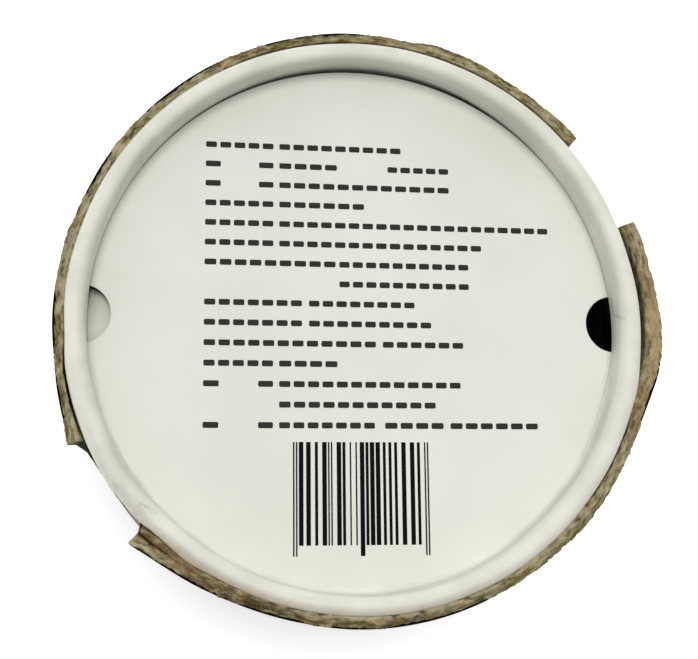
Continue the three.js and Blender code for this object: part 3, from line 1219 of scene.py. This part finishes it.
def rim_section(s):
    """The tube's section as radius, height, outward normal and way inwards from the crown.

    Up the outside, over a quarter circle and down a quarter of the superellipse
    |x|^3 + |y|^3 = 1, straight on to the card and back along the foot.
    """
    crown = s.rim_radius - s.rim_round
    reach = crown - s.recess + s.rim_bead
    points, normals = [], []
    for height in np.linspace(TUBE_FOOT, s.rim_axis - s.rim_height, 6):
        points.append((s.tube_radius, height))
        normals.append((1, 0))
    low, high = s.rim_axis - s.rim_height, s.top - s.rim_round
    for share in np.linspace(0, 1, 15)[1:-1]:
        bulge = (s.rim_radius - s.tube_radius) * min(1, 3 * share)
        points.append((s.tube_radius + bulge, low + (high - low) * share))
        normals.append((1, 0))
    for angle in np.linspace(0, math.pi / 2, 15):
        out, up = math.cos(angle), math.sin(angle)
        points.append((crown + s.rim_round * out, high + s.rim_round * up))
        normals.append((out, up))
    for angle in np.linspace(math.pi / 2, 0, 45)[1:]:
        inwards, up = math.cos(angle) ** (2 / 3), max(math.sin(angle), 0) ** (2 / 3)
        points.append((crown - reach * inwards, s.top - s.rim_slope * (1 - up)))
        normal = np.array([-(inwards**2) / reach, up**2 / s.rim_slope])
        normals.append(tuple(normal / np.hypot(*normal)))
    foot = s.top - s.rim_slope
    for share in 1 - (1 - np.linspace(0, 1, 15)[1:]) ** 1.8:
        back = s.rim_bead * (1 - smooth_step(share))
        points.append((s.recess - back, foot + (s.card_top - foot) * share))
        normals.append((-1, 0))
    below = (s.card_top - depth for depth in (0.15, 0.4, 1.6))
    for height in (*below, 40.0, 20.0, TUBE_FOOT):
        points.append((s.recess, height))
        normals.append((-1, 0))
    points, normals = np.array(points), np.array(normals, dtype=float)
    steps = np.hypot(*np.diff(points, axis=0).T)
    way = np.concatenate([[0], np.cumsum(steps)])
    return points, normals, way - way[np.argmax(points[:, 1])]


def rim_overhang(s, azimuth, height):
    """How far the rim's inner side stands in over the card: its hangs and the fillet.

    The fillet is a quarter round down to the card. Under the card the side steps back.
    """
    above = np.maximum(height - s.card_top, 0)
    centre, reach, fade, size = NEAR_COVE
    near = smooth_step((reach - np.abs(turn_from(azimuth, centre))) / fade)
    fillet = rounded(above, near * (size + lean(LARGER_COVE, azimuth)) + 0.001)
    fillet += lean(FAR_COVE, azimuth) * np.exp(-above / FAR_COVE_HEIGHT)
    hang = lean(RIM_HANGS, azimuth) * band(s.top - height, HANG_SPAN)
    back = lean(UNDERCUT, azimuth) * smooth_step((s.card_top - height) / 0.4)
    return hang + fillet * (height > s.card_top - 0.2) - back


def rim_folds(s, azimuth, way):
    """How far fold lines press the rim in, and the grey painted shade in them and in its smudges.

    Every fold line presses the paper in by depth * exp(-(distance / width) ** 2).
    """
    pressed = np.zeros((way.size, azimuth.size))
    soil = np.zeros_like(pressed)
    for start, way_in, end, way_out, width, depth in RIM_CREASES:
        along = np.radians(turn_from(azimuth, start)) * s.rim_centre
        reach = math.radians(end - start) * s.rim_centre
        distance = segment_distance(along, way, (0, way_in), (reach, way_out))
        pressed += depth * bump(distance, width)
        soil += depth / DEEPEST_FOLD * bump(distance, 1.3 * width)
    for centre, turn_reach, middle, reach, strength in RIM_SMUDGE_SHADES:
        soil += strength * bump(turn_from(azimuth, centre), turn_reach) * bump(way - middle, reach)
    return pressed, soil


def make_base_rim(s):
    """The base tube: its section carried round the axis, leaning as the lid does.

    The outside follows rim_side_at and a slow unevenness. The inside stays close round
    the card, with a gap on the far side, and steps back under it at the open finger hole.
    Fold lines press the paper in along the section's normal.
    """
    azimuth = np.arange(0, 360, 0.36)
    points, normals, way = rim_section(s)
    radius, height, way = (values[:, None] for values in (*points.T, way))
    inner = way > 0
    rise = lean_rise(s, height, s.top)
    sway = np.minimum(uneven(azimuth, 0.06, 9, 61) + uneven(azimuth, 0.025, 2.5, 62), 0.03)
    side = rim_side_at(s, azimuth, height) - s.rim_radius
    out = np.where(inner, lean(RIM_LEANS, azimuth) * rise**2, side) + sway * rise**2
    gap = 0.01 + lean(FAR_GAP, azimuth) + s.card_shift * np.sin(np.radians(azimuth))
    inside = inner * smooth_step((s.top - height - 2.0) / 3.0)
    radius = radius + out * (1 - inside) + (s.card_radius + gap - s.recess) * inside
    radius = radius - inner * rim_overhang(s, azimuth, height)

    # Black painted shade below the card behind both finger holes and in the far gap.
    unlit = lean(HOLE_SHADES, azimuth) * smooth_step((s.card_top + 0.1 - height) / 0.2)
    unlit += lean(GAP_SHADE, azimuth) * smooth_step((s.card_top + 0.5 - height) / 0.3)
    # A brown stain with painted shade beside the board.
    stain_and_shade = np.clip(lean(RIM_STAINS_AND_SHADE, azimuth), 0, 1) * smooth_step((0.1 - way) / 1.5)
    pressed, soil = rim_folds(s, azimuth, way)
    marks = {"soil": np.clip(np.stack([soil, stain_and_shade, unlit * inner], axis=-1), 0, 1)}
    radius = radius - pressed * normals[:, :1]
    height = height + uneven(azimuth, 0.04, 11, 63) * rise**2 - pressed * normals[:, 1:]
    loops = around(azimuth, radius, height)
    nodes = ("base_tube",)
    return add_piece("base_rim", loops, tube_finish(), nodes, ring=True, marks=marks)


def make_packed_inside(s):
    """What fills the tube: a round block with a half-moon pocket under the open hole.

    The pocket's outline is where rays from its own middle leave the finger hole's circle
    or the card's circle, whichever comes first, and the flat top joins it to the block's rim.
    """
    azimuth = np.arange(0, 360, 1.5)
    across = np.cos(np.radians(azimuth))
    turned, hole = OPEN_HOLE
    middle = hole - 0.5 * s.hole_radius

    def leave(centre, radius):
        """A ray's way to a circle: sqrt(b^2 - off^2 + radius^2) - b, b = off * cos(a)."""
        off = middle - centre
        return -off * across + np.sqrt((off * across) ** 2 - off**2 + radius**2)

    backing_foot = s.backing_top - s.backing - 0.3
    floor = backing_foot - s.pocket
    top = backing_foot - BACKING_SAG[2] - 0.2
    block = s.card_radius - 0.1
    outline = np.minimum(leave(hole, s.hole_radius), leave(0.0, s.card_radius - 0.2))
    rim = leave(0.0, block)
    rays = (
        (rim, PACKED_FOOT),
        (rim, top),
        (outline + (rim - outline) * 0.5, top),
        (outline + 0.02, top),
        (outline, top - 0.1),
        (outline, (top + floor) / 2),
        (outline * 0.98, floor + 0.3),
        (outline * 0.9, floor),
        (outline * 0.4, floor),
    )
    loops = turned_loops(azimuth, ((block * 0.5, PACKED_FOOT), *rays))
    loops[1:, :, 0] += middle
    x, y = loops[..., 0].copy(), loops[..., 1].copy()
    cos, sin = math.cos(math.radians(turned)), math.sin(math.radians(turned))
    loops[..., 0], loops[..., 1] = cos * x - sin * y, sin * x + cos * y
    # Near-black painted shade for the unlit pocket and the block round it.
    finish = plain_finish("unlit_inside", colours().inside, 0.95, 300.0)
    return add_piece("packed_inside", loops, finish, ("base_tube",))


# ---- cards ------------------------------------------------------------------------------


def card_outline(s, holes):
    """Azimuths and radius of a round card with each of the given finger holes cut.

    A ray that meets the hole's circle leaves the card there, at
    centre * cos(a) - sqrt(radius^2 - (centre * sin(a))^2).
    """
    azimuth = [np.arange(0, 360, 1.2)]
    sweep = np.radians(np.linspace(-89, 89, 61))
    for side, centre in holes:
        across, along = s.hole_radius * np.sin(sweep), s.hole_radius * np.cos(sweep)
        azimuth.append(side + np.degrees(np.arctan2(across, centre - along)))
    azimuth = np.unique(np.round(np.concatenate(azimuth) % 360, 4))
    radius = np.full(azimuth.size, s.card_radius)
    for side, centre in holes:
        angle = np.radians(turn_from(azimuth, side))
        under = s.hole_radius**2 - (centre * np.sin(angle)) ** 2
        meets = (under > 0) & (np.abs(angle) < 1)
        cut = centre * np.cos(angle) - np.sqrt(np.where(meets, under, 0))
        radius = np.where(meets, np.minimum(radius, cut), radius)
    return azimuth, radius


def card_warp(x, y):
    """The card's slight warp: a shallow saddle with a low middle."""
    return 0.05 * np.sin(x / 19 + 0.6) * np.cos(y / 23) - 0.06 * np.exp(-(x**2 + y**2) / 900)


def make_card(s, name, places, material, node):
    """A round card: outline scaled from the middle out, over a small round, and back.

    Places are its top, thickness, finger holes, shift along Y and sag. The sag is a
    middle x, y, a depth and a reach: depth * exp(-(distance / reach) ** 2).
    """
    top, thickness, holes, shift, sag = places
    azimuth, outline = card_outline(s, holes)
    low, edge = top - thickness, CARD_EDGE
    pairs = [(outline * 0.4, low), (outline - edge, low)]
    pairs += [(outline, low + edge), (outline, top - edge)]
    for angle in (0.5, 1.0, math.pi / 2):
        pairs.append((outline - edge * (1 - math.cos(angle)), top - edge * (1 - math.sin(angle))))
    pairs += [((outline - edge) * share, top) for share in np.linspace(0.06, 0.97, 24)[::-1]]
    loops = turned_loops(azimuth, pairs)
    loops[..., 2] += card_warp(loops[..., 0], loops[..., 1])
    x, y, depth, reach = sag
    loops[..., 2] -= depth * bump(np.hypot(loops[..., 0] - x, loops[..., 1] - y), reach)
    loops[..., 1] += shift
    return add_piece(name, loops, material, (node,))


def make_cards(s):
    """The printed bottom card over the backing card.

    Painted shade darkens the bottom card's cut side, and the backing card outside its finger hole
    under that card.
    """
    c = colours()
    f, tone = paper_finish("bottom_card_paper", c.card, c.card_shade, 35.0, 0.6, 0.01)
    height = f.split(f.place(), "Z")
    # Painted shade: the card's cut side is near-black.
    cut = f.between(height, (s.card_top - 0.14) * MM, (s.card_top - 0.22) * MM)
    paper = f.wear(base_color=f.mix(cut, tone, c.card_cut_shade))
    holes = (OPEN_HOLE, BACKED_HOLE)
    places = (s.card_top, s.card, holes, s.card_shift, NO_SAG)
    make_card(s, "printed_card", places, paper, "bottom_card")

    darker = tuple(v * 0.93 for v in c.backing)
    f, tone = paper_finish("backing_paper", c.backing, darker, 120.0, 0.8, 0.02)
    side, centre = math.radians(BACKED_HOLE[0]), BACKED_HOLE[1] * MM
    middle = (centre * math.cos(side), centre * math.sin(side), 0.0)
    inputs = {0: f.scaled(f.place(), (1.0, 1.0, 0.0)), 1: middle}
    away = f.node("VectorMath", inputs, "Value", operation="DISTANCE")
    # Painted shadow: the backing card is near-black under the bottom card, outside its finger
    # hole.
    shaded_under_card = f.between(away, (s.hole_radius - 0.1) * MM, (s.hole_radius + 0.1) * MM)
    paper = f.wear(base_color=f.mix(shaded_under_card, tone, c.card_cut_shade))
    places = (s.backing_top, s.backing, (OPEN_HOLE,), 0.0, BACKING_SAG)
    make_card(s, "backing_sheet", places, paper, "backing_card")


# ---- print ------------------------------------------------------------------------------


def rounded_bars(left, right, low, high, radius):
    """Outlines (bar, corner, 2) of upright rectangles with rounded corners."""
    turns = np.radians([0, 45, 90, 90, 135, 180, 180, 225, 270, 270, 315, 360])
    quarter = np.repeat(np.array([[1, 1], [-1, 1], [-1, -1], [1, -1]]), 3, axis=0)
    half = np.stack([right - left, high - low], axis=-1)[:, None, :] / 2
    middle = np.stack([right + left, high + low], axis=-1)[:, None, :] / 2
    bow = radius * np.stack([np.cos(turns), np.sin(turns)], axis=-1)
    return middle + quarter * (half - radius) + bow


def add_print(name, outlines, tone, s, p):
    """Lays outlines on the warped bottom card as thin plates of ink."""
    x, y = outlines[..., 0], outlines[..., 1]
    middle = card_warp(x.mean(axis=1), y.mean(axis=1))[:, None]
    height = np.broadcast_to(s.card_top + middle, x.shape)
    finish = plain_finish(name + "_ink", tone, 0.55, 900.0, specular=0.05)
    return add_plates(name, outlines, height, p.ink, finish)


def make_dashes(s, p):
    """Lines of plain dashes: each stretch is shared out into dashes of one pitch."""
    spans = []
    for number, line in enumerate(PRINT_LINES):
        y = p.first_line - p.line_pitch * number
        for left, right in line:
            count = max(1, round((right - left + p.dash_gap) / p.dash_pitch))
            pitch = (right - left + p.dash_gap) / count
            for k in range(count):
                spans.append((left + k * pitch, left + (k + 1) * pitch - p.dash_gap, y))
    left, right, y = np.array(spans).T
    half = p.dash_height / 2
    outlines = rounded_bars(left, right, y - half, y + half, 0.25)
    return add_print("print_dashes", outlines, colours().dash_ink, s, p)


def make_bars(s, p):
    """A block of plain bars whose widths and gaps are drawn with a seed, and short dashes."""
    rng = np.random.default_rng(7)
    marks, at = [(0, 1, True), (2, 1, True)], 4
    while at < p.bar_units - 5:
        width = int(rng.integers(1, 4))
        middle = abs(at - p.bar_units / 2) < 3
        marks.append((at, width, middle))
        at += width + int(rng.integers(1, 4))
    marks += [(p.bar_units - 3, 1, True), (p.bar_units - 1, 1, True)]
    starts, widths, long = (np.array(v) for v in zip(*marks))
    left = p.bars_left + starts * p.bar_unit
    right = left + widths * p.bar_unit * 1.04
    low = np.where(long, p.bars_foot, p.bars_bottom)
    outlines = rounded_bars(left, right, low, np.full(left.size, p.bars_top), 0.05)
    return add_print("print_bars", outlines, colours().bar_ink, s, p)


# ---- operators --------------------------------------------------------------------------


class BuildLidBoard(bpy.types.Operator):
    """Build the lid's board with its raw cut edge and thumb notches"""

    bl_idname = "tea_carton.lid_board"
    bl_label = "Lid board"

    def execute(self, context):
        make_lid_board(sizes())
        return {"FINISHED"}


class BuildLidWrap(bpy.types.Operator):
    """Build the printed wrap glued round the lid"""

    bl_idname = "tea_carton.lid_wrap"
    bl_label = "Lid wrap"

    def execute(self, context):
        make_lid_wrap(sizes())
        return {"FINISHED"}


class BuildBaseTube(bpy.types.Operator):
    """Build the base tube with its rolled rim, and what fills it"""

    bl_idname = "tea_carton.base_tube"
    bl_label = "Base tube"

    def execute(self, context):
        s = sizes()
        make_base_rim(s)
        make_packed_inside(s)
        return {"FINISHED"}


class BuildCards(bpy.types.Operator):
    """Build the printed bottom card and the backing card under it"""

    bl_idname = "tea_carton.cards"
    bl_label = "Cards"

    def execute(self, context):
        make_cards(sizes())
        return {"FINISHED"}


class BuildPrint(bpy.types.Operator):
    """Print the plain dashes and bars on the bottom card"""

    bl_idname = "tea_carton.print"
    bl_label = "Print"

    def execute(self, context):
        s, p = sizes(), in_millimetres(context.scene.carton_print)
        make_dashes(s, p)
        make_bars(s, p)
        return {"FINISHED"}


class BuildStudio(bpy.types.Operator):
    """Set up the floor, the soft light and the camera"""

    bl_idname = "tea_carton.studio"
    bl_label = "Studio"

    def execute(self, context):
        studio = context.scene.carton_studio
        make_floor(studio)
        make_sky(studio)
        make_light(studio)
        make_camera(studio)
        return {"FINISHED"}


def make_floor(studio):
    """A wide flat sheet at the height that the carton stands on."""
    side = np.linspace(-8, 8, 9)
    x, y = np.meshgrid(side, side)
    points = np.stack([x, y, np.zeros_like(x)], axis=-1).reshape(-1, 3)
    index = np.arange(x.size).reshape(x.shape)
    quads = np.stack([index[:-1, :-1], index[:-1, 1:], index[1:, 1:], index[1:, :-1]], axis=-1)
    mesh = bpy.data.meshes.new("floor")
    mesh.from_pydata(points.tolist(), [], quads.reshape(-1, 4).tolist())
    finish = Finish("floor_sheet")
    grain = finish.noise(finish.place(), 60.0, 2.0)
    tone = tuple(studio.floor)
    shade = finish.mix(finish.times(grain, 0.05), tone, tuple(v * 0.95 for v in tone))
    finish.shader.inputs["Emission Color"].default_value = (1, 1, 1, 1)
    finish.shader.inputs["Emission Strength"].default_value = studio.glow
    mesh.materials.append(finish.wear(base_color=shade, roughness=0.9, specular=0.1))
    floor = bpy.data.objects.new("floor", mesh)
    bpy.context.scene.collection.objects.link(floor)


def make_sky(studio):
    """A surround with a white horizon that is brighter on one side above it."""
    world = bpy.data.worlds.new("surround")
    world.use_nodes = True
    nodes, links = world.node_tree.nodes, world.node_tree.links
    sky = nodes["Background"]
    sky.inputs["Color"].default_value = (1, 1, 1, 1)
    towards = nodes.new("ShaderNodeTexCoord").outputs["Generated"]
    side = nodes.new("ShaderNodeVectorMath")
    side.operation = "DOT_PRODUCT"
    turn = studio.bright_side
    side.inputs[1].default_value = (math.cos(turn), math.sin(turn), 0)
    links.new(towards, side.inputs[0])
    above = nodes.new("ShaderNodeMath")
    above.operation = "MULTIPLY_ADD"
    above.inputs[1].default_value = studio.sky * studio.slant
    above.inputs[2].default_value = studio.sky
    links.new(side.outputs["Value"], above.inputs[0])
    split = nodes.new("ShaderNodeSeparateXYZ")
    links.new(towards, split.inputs[0])
    fade = nodes.new("ShaderNodeMapRange")
    fade.inputs["From Max"].default_value = 0.08
    fade.inputs["To Min"].default_value = studio.horizon
    links.new(split.outputs["Z"], fade.inputs["Value"])
    links.new(above.outputs["Value"], fade.inputs["To Max"])
    links.new(fade.outputs["Result"], sky.inputs["Strength"])
    bpy.context.scene.world = world
    bpy.context.scene.view_settings.view_transform = "Standard"


def make_light(studio):
    """A soft far light of the given width, from an azimuth and a height in the sky."""
    lamp = bpy.data.lights.new("key", "SUN")
    lamp.energy = studio.key
    lamp.angle = studio.key_spread
    light = bpy.data.objects.new("key", lamp)
    rise, turn = studio.key_rise, studio.key_turn
    level = math.cos(rise)
    towards = Vector((math.cos(turn) * level, math.sin(turn) * level, math.sin(rise)))
    light.location = towards
    light.rotation_euler = towards.to_track_quat("Z", "Y").to_euler()
    bpy.context.scene.collection.objects.link(light)


def make_camera(studio):
    """A camera on its line of sight, turned about it by the roll."""
    lens = bpy.data.cameras.new("camera")
    lens.lens = studio.lens
    lens.sensor_width = 36
    lens.clip_start = 0.01
    camera = bpy.data.objects.new("camera", lens)
    place, aim = Vector(studio.camera_place), Vector(studio.camera_aim)
    level = (aim - place).to_track_quat("-Z", "Y").to_matrix().to_4x4()
    roll = Matrix.Rotation(studio.camera_roll, 4, "Z")
    camera.matrix_world = Matrix.Translation(place) @ level @ roll
    bpy.context.scene.collection.objects.link(camera)
    bpy.context.scene.camera = camera


OPERATORS = (
    BuildLidBoard,
    BuildLidWrap,
    BuildBaseTube,
    BuildCards,
    BuildPrint,
    BuildStudio,
)
SETTINGS = {
    "carton_sizes": CartonSizes,
    "carton_print": PrintSizes,
    "carton_colours": CartonColours,
    "carton_studio": StudioSettings,
}


class TeaCartonPanel(bpy.types.Panel):
    """Lists the carton's pieces and settings in the sidebar"""

    bl_idname = "VIEW3D_PT_tea_carton"
    bl_label = "Tea Carton"
    bl_space_type = "VIEW_3D"
    bl_region_type = "UI"
    bl_category = "Tea Carton"

    def draw(self, context):
        for operator in OPERATORS:
            self.layout.operator(operator.bl_idname)
        for name, group in SETTINGS.items():
            box = self.layout.box()
            for setting in group.__annotations__:
                box.prop(getattr(context.scene, name), setting)


def register():
    """Registers the settings, the operators and the panel."""
    for name, group in SETTINGS.items():
        bpy.utils.register_class(group)
        setattr(bpy.types.Scene, name, PointerProperty(type=group))
    for cls in (*OPERATORS, TeaCartonPanel):
        bpy.utils.register_class(cls)


def unregister():
    """Undoes register."""
    for cls in (TeaCartonPanel, *reversed(OPERATORS)):
        bpy.utils.unregister_class(cls)
    for name, group in SETTINGS.items():
        delattr(bpy.types.Scene, name)
        bpy.utils.unregister_class(group)


def main():
    register()
    bpy.ops.tea_carton.lid_board()
    bpy.ops.tea_carton.lid_wrap()
    bpy.ops.tea_carton.base_tube()
    bpy.ops.tea_carton.cards()
    bpy.ops.tea_carton.print()
    bpy.ops.tea_carton.studio()
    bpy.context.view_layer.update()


if __name__ == "__main__":
    main()
